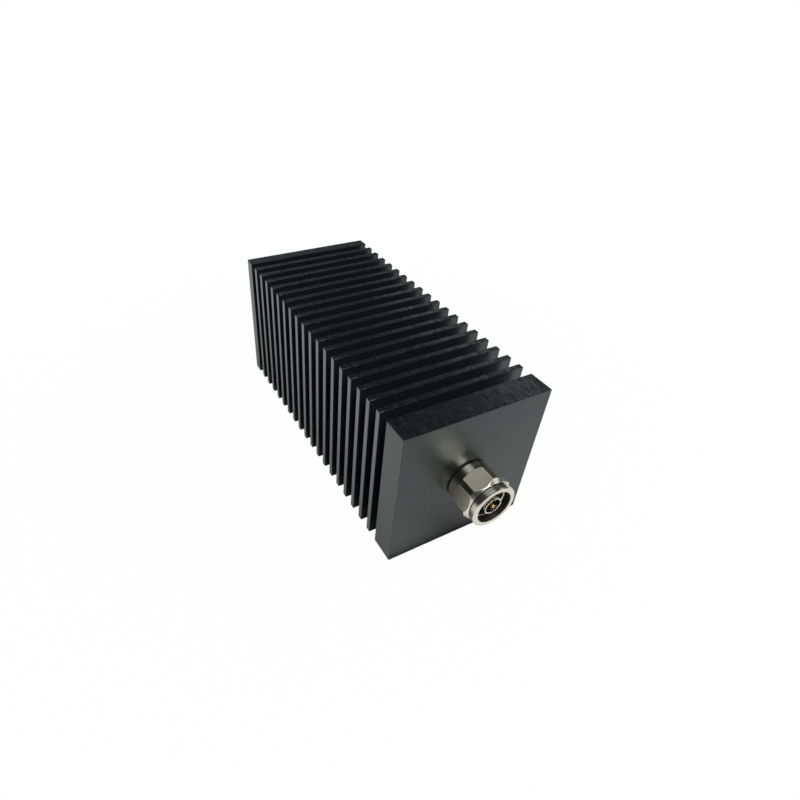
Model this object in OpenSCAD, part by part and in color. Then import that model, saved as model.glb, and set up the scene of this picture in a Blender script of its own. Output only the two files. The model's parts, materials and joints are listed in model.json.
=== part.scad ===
// Coaxial dummy load: a finned square bar that holds a film resistor, with a coaxial plug and its
// turning coupling nut on the front plate. Sizes are in millimetres. +Z is up and the plug points
// along -Y. The origin lies under the middle of the whole length, on the plane the bar rests on.
// A station is a distance along the plug's axis from the front plate's face, positive into the bar.

/* [Finned bar] */
// Width and height of the square bar
bar_w = 70; // [60:1:90]
// Length of the bar
bar_l = 160; // [140:1:220]
// Thickness of the front plate
front_plate_t = 12; // [8:0.5:16]
// Thickness of the rear plate
rear_plate_t = 6; // [5:0.5:10]
// Number of fins between the plates
fin_count = 18; // [8:1:22]
// Thickness of one fin
fin_t = 2.6; // [1.6:0.1:3.4]
// Wall of the round core around the carrier's bore
core_wall = 6; // [5:0.5:9]
// Edge break on the plates and fins
edge_break = 0.3; // [0.1:0.05:0.5]

/* [Plug body] */
// Diameter of the thread that screws into the front plate
seat_thread_d = 14; // [13:0.1:15]
// Length of that thread
seat_thread_l = 10; // [7:0.5:14]
// Depth of the threaded seat beyond the end of the thread
seat_runout = 0.5; // [0.2:0.1:1]
// Diameter of the neck that the coupling nut turns on
neck_d = 17; // [16.6:0.1:17.4]
// Length of the neck in front of the plate
neck_l = 7.2; // [6.5:0.1:8]
// Wall of the slotted contact sleeve
sleeve_wall = 0.55; // [0.4:0.05:0.8]
// Length of the contact sleeve in front of the neck
sleeve_l = 9.6; // [8.5:0.1:10]
// Edge break on the sleeve's tip
sleeve_break = 0.15; // [0.05:0.05:0.2]
// Bore of the sleeve and of the air line behind it
line_d = 7; // [6.6:0.1:7.4]
// Length of the air line between the threaded seat and the carrier's bore
line_l = 3.5; // [2:0.5:6]
// Number of slots in the contact sleeve
slot_count = 4; // [3:1:6]
// Width of one slot
slot_w = 0.5; // [0.3:0.05:0.8]
// Length of one slot
slot_l = 6.5; // [4:0.1:8]
// Turn of the slots about the axis, in degrees
slot_turn = 14; // [0:1:89]

/* [Inner conductor] */
// Diameter of the inner conductor
pin_d = 3.04; // [2.6:0.02:3.4]
// Diameter of its contact tip
pin_tip_d = 1.65; // [1.5:0.05:1.9]
// Length of the contact tip
pin_tip_l = 5.9; // [4.5:0.1:7]
// How far the contact tip reaches past the sleeve
pin_lead = 0.65; // [0.2:0.05:0.7]
// Depth of the groove that holds the bead
bead_groove = 0.2; // [0.1:0.05:0.4]
// Diameter of the bead
bead_d = 10.2; // [9:0.1:11]
// Length of the bead
bead_l = 6; // [4:0.5:7]
// How far the bead reaches in front of the plate's face
bead_forward = 3; // [2:0.5:4]
// Setback of the conductor's rear end from the carrier's bore
pin_setback = 0.5; // [0.2:0.1:1]
// Depth of the socket in the conductor's rear end
socket_l = 4; // [3:0.5:6]

/* [Snap ring and gasket] */
// Distance from the plate to the middle of the snap ring
ring_reach = 3; // [2:0.1:3.6]
// Thickness of the snap ring along the axis
ring_t = 0.9; // [0.6:0.1:1.1]
// Depth of the snap ring in the neck
ring_in = 0.75; // [0.5:0.05:0.9]
// How far the snap ring stands out of the neck
ring_out = 0.55; // [0.3:0.05:0.65]
// Width of the opening in the snap ring
ring_opening = 3; // [1:0.5:6]
// Outer diameter of the gasket
gasket_d = 15.4; // [14:0.1:15.6]
// Bore of the gasket
gasket_bore = 10.8; // [10:0.1:12]
// Thickness of the gasket
gasket_t = 1.5; // [1:0.1:2]

/* [Coupling nut] */
// Length of the nut
nut_l = 17.2; // [16.8:0.1:19]
// Wall of the round collar over the snap ring's groove
collar_wall = 0.65; // [0.4:0.05:0.9]
// Length of the collar
collar_l = 3.7; // [3.2:0.1:4.4]
// Bevel on the collar's rear edge
collar_bevel = 0.4; // [0.1:0.05:0.6]
// Distance across the flats of the hexagon
flats_w = 20.6; // [20:0.1:21.2]
// Diameter over the turned corners of the hexagon
corners_d = 22.6; // [22:0.1:23.4]
// Length of the hexagon with its chamfers
hex_l = 10.2; // [9.4:0.1:11]
// Length of the chamfer at the hexagon's front end
hex_front_chamfer = 1.7; // [1.2:0.1:2.6]
// Length of the chamfer at the hexagon's rear end
hex_rear_chamfer = 1.4; // [0.8:0.1:2]
// Depth of the relief behind the front round
relief_depth = 0.3; // [0.2:0.05:0.6]
// Length of the relief
relief_l = 0.7; // [0.4:0.1:0.9]
// Diameter of the front round
front_d = 20.4; // [20:0.1:21]
// Bevel on the lip's outer edge
lip_bevel = 0.35; // [0.1:0.05:0.5]
// Diameter of the bore over the roots of its thread
thread_d = 15.9; // [15.7:0.1:16.2]
// Length of the threaded bore
thread_l = 8; // [6:0.1:8.6]
// Bevel at the mouth of the bore
mouth_bevel = 0.1; // [0.05:0.05:0.4]
// Turn of the hexagon about the axis, in degrees
hex_turn = 20.4; // [0:0.1:59.9]

/* [Carrier and cap] */
// Gap between the front of the carrier and the end of its bore
carrier_end_gap = 1; // [0.5:0.1:2]
// Setback of the termination from the carrier's front
land_setback = 3; // [2:0.5:5]
// Length of the flat land behind the termination
land_tail = 6; // [3:0.5:12]
// Gap beside the termination's flange in the bore
flange_side_gap = 2; // [1.6:0.1:3]
// Thickness of the cap at the carrier's rear end
cap_t = 3.5; // [3:0.1:4.5]
// How far the cap reaches past the core
cap_rim = 2; // [1:0.5:6]
// Bevel on the cap's rim
cap_bevel = 0.4; // [0.2:0.1:0.8]
// Number of cap screws
cap_screw_count = 4; // [3:1:8]

/* [Termination] */
// Length of the mounting flange across the bar
flange_l = 24.8; // [22:0.2:28]
// Width of the mounting flange along the bar
flange_w = 9.5; // [8:0.5:12]
// Thickness of the mounting flange
flange_t = 3.2; // [2:0.1:4]
// Distance between the flange's two holes
flange_pitch = 18.4; // [17:0.1:19]
// Width of the ceramic substrate across the bar
substrate_w = 9.4; // [8:0.1:10.4]
// Thickness of the ceramic substrate
substrate_t = 1; // [0.6:0.1:1.6]
// Margin of the substrate from the flange's edges
substrate_margin = 0.2; // [0.1:0.1:0.5]
// Thickness of the ceramic lid
lid_t = 1.2; // [0.6:0.1:2]
// Margin of the lid from the substrate's edges and from the tab
lid_margin = 0.4; // [0.2:0.1:0.8]
// Width of the input tab
tab_w = 1.4; // [1:0.1:2.4]
// Thickness of the input tab
tab_t = 0.2; // [0.1:0.05:0.3]
// Length of the tab's joint on the substrate
tab_overlap = 2; // [1:0.1:3]
// Gap between the tab and the end of the bore
tab_end_gap = 0.8; // [0.4:0.1:1.5]
// Diameter of the input pin on the tab
input_pin_d = 1; // [0.8:0.05:1.2]
// Gap between the input pin's end and the bottom of its socket
input_pin_gap = 0.6; // [0.3:0.1:1]

/* [Screws] */
// Thread diameter of the screws
screw_d = 3; // [2.5:0.1:3.2]
// Length of a flange screw's thread
flange_screw_l = 8; // [7:0.5:8.5]
// Diameter of a flange screw's head
flange_head_d = 5.5; // [5:0.1:6]
// Height of a flange screw's head
flange_head_h = 3; // [2.4:0.1:3.4]
// Thickness of the washer under it
washer_t = 0.8; // [0.5:0.1:1.2]
// Length of a cap screw
cap_screw_l = 10; // [8:0.5:16]
// Diameter of a cap screw's countersunk head
cap_head_d = 5.6; // [5:0.1:5.8]
// Depth of a cap screw's head below the cap's face
cap_head_sink = 0.1; // [0.05:0.05:0.3]
// Depth of a tapped hole past the end of its screw
hole_spare = 0.5; // [0.2:0.1:0.8]
// Width across the flats of a screw's socket
drive_w = 2; // [1.5:0.1:2.5]
// Depth of a screw's socket
drive_depth = 1.1; // [0.8:0.1:1.4]

/* [Clearances] */
// Gap between the nut and the neck it turns on
running_gap = 0.08; // [0.03:0.01:0.1]
// Gap between the nut and the front plate
nut_gap = 0.3; // [0.2:0.05:0.5]
// Play of the snap ring in the nut's groove
ring_play = 0.2; // [0.1:0.05:0.3]
// Gap around threads and pieces that are pressed or soldered in place
seat_gap = 0.03; // [0.01:0.01:0.05]
// Gap around the carrier in its bore and the cap in its recess
slip_gap = 0.06; // [0.02:0.01:0.1]
// Gap around a screw in its through hole
screw_gap = 0.15; // [0.1:0.05:0.25]

/* [Hidden] */
$fn = 96;
// How far a cut runs past the face it opens
past = 1;

// Places of the bar and the plug's axis
nut_front = -nut_gap - nut_l;
front_y = -(bar_l + nut_front) / 2;
axis_z = bar_w / 2;
fin_gap = (bar_l - front_plate_t - rear_plate_t - fin_count * fin_t) / (fin_count + 1);

// Stations along the axis, from the front to the rear
sleeve_tip = -neck_l - sleeve_l;
pin_tip = sleeve_tip - pin_lead;
pin_shoulder = pin_tip + pin_tip_l;
bead_front = -bead_forward;
bead_rear = bead_front + bead_l;
seat_depth = seat_thread_l + seat_runout;
bore_start = seat_depth + line_l;
pin_rear = bore_start - pin_setback;
socket_end = pin_rear - socket_l;
carrier_front = bore_start + carrier_end_gap;
flange_front = carrier_front + land_setback;
flange_rear = flange_front + flange_w;
flange_mid = (flange_front + flange_rear) / 2;
substrate_front = flange_front + substrate_margin;
tab_rear = substrate_front + tab_overlap;
land_rear = flange_rear + land_tail;
cap_front = bar_l - cap_t;
cap_head_top = bar_l - cap_head_sink;

// Heights of the termination's layers under the axis
tab_top = axis_z - input_pin_d / 2;
substrate_top = tab_top - tab_t;
flange_top = substrate_top - substrate_t;
land_z = flange_top - flange_t;

// Radii that follow from what they hold
nut_bore_r = neck_d / 2 + running_gap;
ring_inner_r = neck_d / 2 - ring_in;
ring_outer_r = neck_d / 2 + ring_out;
nut_groove_r = ring_outer_r + ring_play;
collar_r = nut_groove_r + collar_wall;
relief_r = front_d / 2 - relief_depth;
sleeve_r = line_d / 2 + sleeve_wall;
socket_r = input_pin_d / 2 + seat_gap;
bore_r = sqrt(pow(flange_l / 2 + flange_side_gap, 2) + pow(axis_z - land_z, 2));
core_r = bore_r + core_wall;
cap_r = core_r + cap_rim;
cap_screw_r = bore_r + core_wall / 2;
thread_hole_r = screw_d / 2 + seat_gap;
through_hole_r = screw_d / 2 + screw_gap;
cap_head_h = (cap_head_d - screw_d) / 2;

// Frame of the plug's axis: local Z runs along the stations
module on_axis() {
  translate([0, front_y, axis_z]) rotate([-90, 0, 0]) children();
}

// Turned piece from [station, radius] points
module turned(points) {
  on_axis() rotate_extrude() polygon([for (p = points) [p[1], p[0]]]);
}

// Turned ring between two stations and two radii
module ring(from, to, inner_r, outer_r) {
  turned([[from, inner_r], [from, outer_r], [to, outer_r], [to, inner_r]]);
}

// Plain round bar or hole between two stations
module round_bar(from, to, r) {
  on_axis() translate([0, 0, from]) cylinder(h = to - from, r = r);
}

// Block across the axis, given by its width, stations and heights
module block(width, from, to, low, high) {
  translate([-width / 2, front_y + from, low]) cube([width, to - from, high - low]);
}

// Rectangle with broken corners
module broken_rectangle(w, h) {
  b = edge_break;
  polygon([[b, 0], [w - b, 0], [w, b], [w, h - b], [w - b, h], [b, h], [0, h - b], [0, b]]);
}

// Square plate across the bar with every edge broken
module square_plate(station, t) {
  translate([-bar_w / 2, front_y + station, 0]) intersection() {
    translate([0, t, 0]) rotate([90, 0, 0]) linear_extrude(t) broken_rectangle(bar_w, bar_w);
    linear_extrude(bar_w) broken_rectangle(bar_w, t);
    rotate([90, 0, 90]) linear_extrude(bar_w) broken_rectangle(t, bar_w);
  }
}

// Children at each cap screw, with local Z along the stations
module at_cap_screws() {
  on_axis() for (i = [0 : cap_screw_count - 1])
    rotate([0, 0, 45 + i * 360 / cap_screw_count]) translate([cap_screw_r, 0, 0]) children();
}

// Children at each flange screw, with local Z upwards from the land
module at_flange_screws() {
  for (side = [-1, 1])
    translate([side * flange_pitch / 2, front_y + flange_mid, land_z]) children();
}

// Six-sided socket that opens upwards at a height
module drive_socket(top) {
  translate([0, 0, top - drive_depth]) cylinder(h = drive_depth + past, d = drive_w / cos(30), $fn = 6);
}

module heat_sink() {
  color("#1b1c1e") difference() {
    union() {
      square_plate(0, front_plate_t);
      square_plate(bar_l - rear_plate_t, rear_plate_t);
      for (i = [1 : fin_count])
        square_plate(front_plate_t + i * fin_gap + (i - 1) * fin_t, fin_t);
      round_bar(front_plate_t / 2, bar_l - rear_plate_t / 2, core_r);
    }
    turned([
      [-past, 0], [-past, seat_thread_d / 2 + seat_gap], [seat_depth, seat_thread_d / 2 + seat_gap],
      [seat_depth, line_d / 2], [bore_start, line_d / 2], [bore_start, bore_r], [cap_front, bore_r],
      [cap_front, cap_r + slip_gap], [bar_l + past, cap_r + slip_gap], [bar_l + past, 0]
    ]);
    at_cap_screws() translate([0, 0, cap_head_top - cap_screw_l - hole_spare])
      cylinder(h = cap_screw_l + hole_spare, r = thread_hole_r);
  }
}

module connector_body() {
  groove_half = ring_t / 2 + seat_gap;
  groove_r = ring_inner_r - seat_gap;
  color("#c9c6bc") difference() {
    turned([
      [seat_thread_l, bead_d / 2], [seat_thread_l, seat_thread_d / 2], [0, seat_thread_d / 2],
      [0, neck_d / 2], [-ring_reach + groove_half, neck_d / 2], [-ring_reach + groove_half, groove_r],
      [-ring_reach - groove_half, groove_r], [-ring_reach - groove_half, neck_d / 2],
      [-neck_l, neck_d / 2], [-neck_l, sleeve_r], [sleeve_tip + sleeve_break, sleeve_r],
      [sleeve_tip, sleeve_r - sleeve_break], [sleeve_tip, line_d / 2], [bead_front, line_d / 2],
      [bead_front, bead_d / 2]
    ]);
    on_axis() for (i = [0 : slot_count - 1])
      rotate([0, 0, -slot_turn - i * 360 / slot_count])
        translate([0, -slot_w / 2, sleeve_tip - past]) cube([2 * sleeve_r, slot_w, slot_l + past]);
  }
}

module coupling_nut() {
  hex_rear = -nut_gap - collar_l;
  hex_front = hex_rear - hex_l;
  relief_front = hex_front - relief_l;
  thread_rear = nut_front + thread_l;
  groove_half = ring_t / 2 + ring_play;
  color("#cfcabd") difference() {
    turned([
      [-nut_gap, 0], [-nut_gap, collar_r - collar_bevel], [-nut_gap - collar_bevel, collar_r],
      [hex_rear, collar_r], [hex_rear - hex_rear_chamfer, corners_d / 2],
      [hex_front + hex_front_chamfer, corners_d / 2], [hex_front, relief_r],
      [relief_front, relief_r], [relief_front, front_d / 2], [nut_front + lip_bevel, front_d / 2],
      [nut_front, front_d / 2 - lip_bevel], [nut_front, 0]
    ]);
    // The six milled flats
    difference() {
      round_bar(hex_front, hex_rear, corners_d / 2 + past);
      on_axis() rotate([0, 0, -hex_turn]) translate([0, 0, hex_front - past])
        cylinder(h = hex_l + 2 * past, d = flats_w / cos(30), $fn = 6);
    }
    // Bore with the snap ring's groove and the threaded front
    turned([
      [past, 0], [past, nut_bore_r], [-ring_reach + groove_half, nut_bore_r],
      [-ring_reach + groove_half, nut_groove_r], [-ring_reach - groove_half, nut_groove_r],
      [-ring_reach - groove_half, nut_bore_r], [thread_rear, nut_bore_r], [thread_rear, thread_d / 2],
      [nut_front + mouth_bevel, thread_d / 2], [nut_front, thread_d / 2 + mouth_bevel],
      [nut_front - past, thread_d / 2 + mouth_bevel], [nut_front - past, 0]
    ]);
  }
}

module snap_ring() {
  color("#8f8d86") difference() {
    ring(-ring_reach - ring_t / 2, -ring_reach + ring_t / 2, ring_inner_r, ring_outer_r);
    on_axis() translate([-ring_opening / 2, 0, -ring_reach - ring_t])
      cube([ring_opening, ring_outer_r + past, 2 * ring_t]);
  }
}

module gasket() {
  color("#26282b") ring(-neck_l - gasket_t, -neck_l, gasket_bore / 2, gasket_d / 2);
}

module center_pin() {
  tip_r = pin_tip_d / 2;
  color("#c8a24c") turned([
    [pin_rear, socket_r], [pin_rear, pin_d / 2], [bead_rear, pin_d / 2],
    [bead_rear, pin_d / 2 - bead_groove], [bead_front, pin_d / 2 - bead_groove],
    [bead_front, pin_d / 2], [pin_shoulder, pin_d / 2], [pin_shoulder, tip_r],
    for (a = [0 : 15 : 90]) [pin_tip + tip_r * (1 - sin(a)), tip_r * cos(a)],
    [socket_end, 0], [socket_end, socket_r]
  ]);
}

module bead() {
  color("#f2f0e8")
    ring(bead_front, bead_rear, pin_d / 2 - bead_groove + seat_gap, bead_d / 2 - seat_gap);
}

module bead_retainer() {
  color("#b9975b") ring(bead_rear, seat_thread_l, line_d / 2, bead_d / 2 - seat_gap);
}

module carrier() {
  carrier_r = bore_r - slip_gap;
  hole_depth = flange_screw_l - flange_t - washer_t + hole_spare;
  color("#222326") difference() {
    turned([
      [carrier_front, 0], [carrier_front, carrier_r], [cap_front, carrier_r], [cap_front, cap_r],
      [bar_l - cap_bevel, cap_r], [bar_l, cap_r - cap_bevel], [bar_l, 0]
    ]);
    block(2 * bore_r, carrier_front - past, land_rear, land_z, axis_z + bore_r);
    at_flange_screws() translate([0, 0, -hole_depth])
      cylinder(h = hole_depth + past, r = thread_hole_r);
    at_cap_screws() {
      translate([0, 0, cap_front - past]) cylinder(h = cap_t + 2 * past, r = through_hole_r);
      translate([0, 0, cap_head_top - cap_head_h])
        cylinder(h = cap_head_h, r1 = screw_d / 2 + screw_gap, r2 = cap_head_d / 2 + screw_gap);
      translate([0, 0, cap_head_top]) cylinder(h = cap_head_sink + past, r = cap_head_d / 2 + screw_gap);
    }
  }
}

module cap_screws() {
  color("#3a3b3d") at_cap_screws() difference() {
    union() {
      translate([0, 0, cap_head_top - cap_screw_l]) cylinder(h = cap_screw_l, r = screw_d / 2);
      translate([0, 0, cap_head_top - cap_head_h])
        cylinder(h = cap_head_h, r1 = screw_d / 2, r2 = cap_head_d / 2);
    }
    drive_socket(cap_head_top);
  }
}

module termination_flange() {
  color("#bdb6a8") difference() {
    block(flange_l, flange_front, flange_rear, land_z, flange_top);
    at_flange_screws() translate([0, 0, -past]) cylinder(h = flange_t + 2 * past, r = through_hole_r);
  }
}

module substrate() {
  color("#efece2")
    block(substrate_w, substrate_front, flange_rear - substrate_margin, flange_top, substrate_top);
}

module resistor_lid() {
  color("#e6e2d6") block(
    substrate_w - 2 * lid_margin, tab_rear + lid_margin, flange_rear - substrate_margin - lid_margin,
    substrate_top, substrate_top + lid_t
  );
}

module input_tab() {
  color("#d8d5cc") block(tab_w, bore_start + tab_end_gap, tab_rear, substrate_top, tab_top);
}

module input_pin() {
  color("#c8a24c") round_bar(socket_end + input_pin_gap, tab_rear, input_pin_d / 2);
}

module flange_screws() {
  head_low = flange_t + washer_t;
  color("#b4b2ab") at_flange_screws() difference() {
    union() {
      translate([0, 0, head_low - flange_screw_l]) cylinder(h = flange_screw_l, r = screw_d / 2);
      translate([0, 0, head_low]) cylinder(h = flange_head_h, r = flange_head_d / 2);
    }
    drive_socket(head_low + flange_head_h);
  }
}

module flange_washers() {
  color("#a9a79f") at_flange_screws() translate([0, 0, flange_t]) difference() {
    cylinder(h = washer_t, r = flange_head_d / 2);
    translate([0, 0, -past]) cylinder(h = washer_t + 2 * past, r = through_hole_r);
  }
}

heat_sink();
connector_body();
coupling_nut();
snap_ring();
gasket();
center_pin();
bead();
bead_retainer();
carrier();
cap_screws();
termination_flange();
substrate();
resistor_lid();
input_tab();
input_pin();
flange_screws();
flange_washers();
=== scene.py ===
"""Coaxial dummy load: a black finned bar with a plated plug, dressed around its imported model.

Every object is in metres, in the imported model's frame: +Z is up and the plug points along -Y. A station is
a distance along the plug's axis from the front plate's face, positive into the bar. An angle about that
axis runs from +X towards +Z.
"""

import json
import math

import bmesh
import bpy
from bpy.props import FloatProperty, FloatVectorProperty, IntProperty, PointerProperty
from mathutils import Euler, Matrix, Vector


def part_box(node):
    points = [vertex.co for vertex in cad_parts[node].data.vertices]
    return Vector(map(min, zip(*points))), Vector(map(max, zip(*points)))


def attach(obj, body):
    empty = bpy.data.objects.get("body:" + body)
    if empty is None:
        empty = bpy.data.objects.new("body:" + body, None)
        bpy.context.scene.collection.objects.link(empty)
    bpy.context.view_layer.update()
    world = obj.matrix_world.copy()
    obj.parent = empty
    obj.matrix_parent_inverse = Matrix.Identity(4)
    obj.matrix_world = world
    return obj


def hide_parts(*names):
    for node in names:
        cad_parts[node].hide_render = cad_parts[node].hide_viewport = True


bl_info = {
    "name": "Dummy load",
    "version": (1, 0, 0),
    "blender": (4, 5, 0),
    "location": "3D View > Sidebar > Dummy load",
    "description": "Dresses a finned coaxial dummy load around its packed model",
    "category": "Object",
}

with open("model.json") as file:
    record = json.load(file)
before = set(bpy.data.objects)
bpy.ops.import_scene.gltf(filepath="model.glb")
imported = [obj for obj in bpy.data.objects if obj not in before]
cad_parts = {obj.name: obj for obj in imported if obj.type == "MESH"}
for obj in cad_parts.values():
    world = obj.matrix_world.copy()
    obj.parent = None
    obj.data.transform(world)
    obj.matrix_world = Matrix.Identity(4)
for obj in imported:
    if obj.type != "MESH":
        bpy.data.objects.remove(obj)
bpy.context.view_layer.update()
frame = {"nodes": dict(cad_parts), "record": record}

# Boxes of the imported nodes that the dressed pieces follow
bar_low, bar_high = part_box("heat_sink")
nut_low, nut_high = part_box("coupling_nut")
body_low, body_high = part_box("connector_body")
pin_low, pin_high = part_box("center_pin")
bead_low, bead_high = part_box("bead")
carrier_low, carrier_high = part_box("carrier")

MM = 0.001
FRONT_Y = bar_low.y
BAR_MIDDLE = (bar_low + bar_high) / 2
AXIS_Z = BAR_MIDDLE.z
BAR_HALF = (bar_high.x - bar_low.x) / 2
BAR_LENGTH = bar_high.y - bar_low.y
CAP_RADIUS = (carrier_high.x - carrier_low.x) / 2
RECORD_COLOURS = {entry["slot"]: entry["base_color"] for entry in frame["record"]["materials"]}

# How finely the meshes are cut
SIDE_STEPS = 24
CORNER_STEPS = 3
SOFT_STEPS = 3
TURN_STEPS = 128
CONDUCTOR_STEPS = 64
NOSE_STEPS = 8
FLAT_STEPS = 6
NUT_CORNER_STEPS = 22
CHAMFER_STEPS = 10
DRILL_STEPS = 24
THREAD_STEPS = 96
WELD = 2e-7

# Angles from which an edge is shaded sharp, on most pieces and on the finely cut ones
SHARP = math.radians(38)
FINE_SHARP = math.radians(20)

# Order of the nut's finishes
POLISHED, SATIN, DULL_PAINTED_SHADE, TURNED = range(4)

# Part of a noise's range that its colours and numbers follow
NOISE_SPAN = (0.3, 0.7)

# Share of a face's normal along an axis, above which the face is taken to look along it
SQUARE = 0.7

# Share of a mark's radius within which the mark is full
MARK_CORE = 0.6

# Half the floor's width, its gap below the bar, and the picture's width in the lens's millimetres
FLOOR_HALF = 3
FLOOR_GAP = 0.02 * MM
PICTURE_WIDTH = 36


def length(name, description, millimetres):
    """Property for a length, given in millimetres and kept in metres."""
    return FloatProperty(
        name=name, description=description, default=millimetres * MM, precision=5, unit="LENGTH"
    )


def angle(name, description, degrees):
    """Property for an angle, given in degrees and kept in radians."""
    return FloatProperty(name=name, description=description, default=math.radians(degrees), unit="ROTATION")


def number(name, description, value):
    """Property for a plain number."""
    return FloatProperty(name=name, description=description, default=value, precision=4)


def place(name, description, point):
    """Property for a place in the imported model's frame, in metres."""
    return FloatVectorProperty(
        name=name, description=description, default=point, precision=4, subtype="TRANSLATION", unit="LENGTH"
    )


def plane(name, description, sides):
    """Property for the two sides of a flat rectangle, in metres."""
    return FloatVectorProperty(name=name, description=description, default=sides, size=2, unit="LENGTH")


def colour(name, description, rgb):
    """Property for a colour."""
    return FloatVectorProperty(
        name=name, description=description, default=rgb, size=3, min=0, max=1, subtype="COLOR"
    )


class BarSizes(bpy.types.PropertyGroup):
    """Sizes of the finned bar and the bores in it."""

    front_plate: length("Front plate", "Thickness of the front plate", 12)
    rear_plate: length("Rear plate", "Thickness of the rear plate", 6)
    fin_count: IntProperty(name="Fins", description="Number of fins between the plates", default=18, min=2)
    fin: length("Fin", "Thickness of one fin", 2.6)
    edge: length("Edge", "Radius of the edges of the plates and fins", 0.2)
    corner: length("Corner", "Radius of the bar's four long corners", 0.4)
    core_wall: length("Core wall", "Wall of the round core around the carrier's bore", 6)
    cap_rim: length("Cap rim", "How far the cap reaches past the core", 2)
    cap: length("Cap", "Thickness of the cap that closes the bore", 3.5)
    recess_gap: length("Recess gap", "Gap around the cap in its recess", 0.06)
    carrier_gap: length("Carrier gap", "Gap between the carrier's front and the end of its bore", 1)
    seat_radius: length("Seat", "Radius of the plug's seat in the front plate", 7.03)
    seat_runout: length("Seat run-out", "Depth of the seat past the plug's thread", 0.5)
    line_radius: length("Air line", "Radius of the air line behind the seat", 3.5)
    screw_hole: length("Screw hole", "Radius of the cap screws' holes in the core", 1.53)
    screw_depth: length("Screw depth", "Depth of the cap screws' holes below the rear face", 10.6)


class NutSizes(bpy.types.PropertyGroup):
    """Sizes of the coupling nut."""

    collar_radius: length("Collar", "Radius of the round collar at the rear", 9.9)
    collar_length: length("Collar length", "Length of the collar", 3.7)
    collar_bevel: length("Collar bevel", "Bevel on the collar's rear edge", 0.4)
    flats: length("Across flats", "Distance across the flats of the hexagon", 20.6)
    corner_radius: length("Corners", "Radius over the turned corners of the hexagon", 11.3)
    hex_length: length("Hexagon length", "Length of the hexagon with its chamfers", 10.2)
    rear_chamfer: length("Rear chamfer", "Length of the chamfer at the hexagon's rear end", 1.4)
    front_chamfer: length("Front chamfer", "Length of the chamfer at the hexagon's front end", 1.7)
    relief_radius: length("Relief", "Radius of the relief behind the front round", 9.9)
    relief_length: length("Relief length", "Length of the relief", 0.7)
    front_radius: length("Front round", "Radius of the front round", 10.2)
    lip_bevel: length("Lip bevel", "Bevel on the outer edge of the lip", 0.35)
    thread_radius: length("Thread roots", "Radius over the roots of the inner thread", 7.95)
    thread_length: length("Thread length", "Length of the threaded bore", 8)
    lead_reach: length("Lead reach", "Plain mouth in front of the ring that leads into the thread", 3.4)
    lead_width: length("Lead width", "Width of that ring", 0.9)
    thread_depth: length("Thread depth", "Height of the thread's ridge", 0.52)
    pitch: length("Pitch", "Pitch of the inner thread", 1.058)
    mouth_bevel: length("Mouth bevel", "Bevel at the mouth of the bore", 0.1)
    bore_radius: length("Bore", "Radius of the plain bore", 8.58)
    groove_radius: length("Groove", "Radius of the snap ring's groove", 9.25)
    groove_width: length("Groove width", "Width of the snap ring's groove", 1.3)
    groove_reach: length("Groove reach", "Distance from the plate to the middle of the groove", 3)
    soft_edge: length("Soft edge", "Radius of the small edges", 0.07)
    turn: angle("Turn", "Turn of the hexagon's first corner about the axis", 20.4)


class PlugSizes(bpy.types.PropertyGroup):
    """Sizes of the plug's body and its inner conductor."""

    seat_radius: length("Seat thread", "Radius of the thread in the front plate", 7)
    neck_radius: length("Neck", "Radius of the neck that the nut turns on", 8.5)
    neck_length: length("Neck length", "Length of the neck in front of the plate", 7.2)
    groove_radius: length("Ring groove", "Radius of the snap ring's groove in the neck", 7.72)
    groove_width: length("Ring groove width", "Width of the snap ring's groove in the neck", 0.96)
    groove_reach: length("Ring reach", "Distance from the plate to the middle of the groove", 3)
    sleeve_radius: length("Sleeve", "Radius of the slotted contact sleeve", 4.05)
    sleeve_bore: length("Sleeve bore", "Radius of the bore in the sleeve", 3.5)
    bead_radius: length("Bead seat", "Radius of the bead's seat in the body", 5.1)
    slot_count: IntProperty(name="Slots", description="Number of slots in the sleeve", default=4, min=1)
    slot_width: length("Slot", "Width of one slot", 0.5)
    slot_length: length("Slot length", "Length of one slot", 6.5)
    slot_turn: angle("Slot turn", "Turn of the first slot about the axis", 14)
    conductor_radius: length("Conductor", "Radius of the inner conductor", 1.52)
    tip_radius: length("Tip", "Radius of the conductor's contact tip", 0.825)
    tip_length: length("Tip length", "Length of the conductor's contact tip", 5.9)
    bead_groove: length("Bead groove", "Depth of the bead's groove in the conductor", 0.2)
    socket_radius: length("Socket", "Radius of the socket in the conductor's rear end", 0.53)
    socket_depth: length("Socket depth", "Depth of that socket", 4)
    soft_edge: length("Soft edge", "Radius of the small edges", 0.06)


class FinishColours(bpy.types.PropertyGroup):
    """Colours of the finishes that show."""

    anodise: colour("Black anodise", "Dyed oxide of the bar", (0.0105, 0.0112, 0.0118))
    # Painted light: a lighter, cooler colour on the fins' flat faces that lifts the shade in the gaps
    # between them
    fin_faces_painted_light: colour("Fin faces", "Dyed oxide on the fins' flat faces", (0.0135, 0.0152, 0.018))
    nickel: colour("Nickel", "Warm nickel plating of the nut and plug", (0.73, 0.708, 0.6))
    flats: colour("Flats", "Satin nickel of the nut's milled flats", (0.64, 0.617, 0.49))
    # A real pit in a flat, drawn as a dark spot whose darkness is painted shade in its hollow
    pit: colour("Pit", "Dark bottom of a pit in the plating", (0.05, 0.05, 0.045))
    # Painted shade: the nut's inside, its relief and its thread take this dark colour for the shade in them
    bore: colour("Bore", "Dull plating inside the nut", (0.13, 0.125, 0.115))
    gold: colour("Gold", "Gold plating of the inner conductor", (0.8, 0.62, 0.27))
    speck: colour("Speck", "Bare metal in a small nick", (0.3, 0.3, 0.29))


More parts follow.
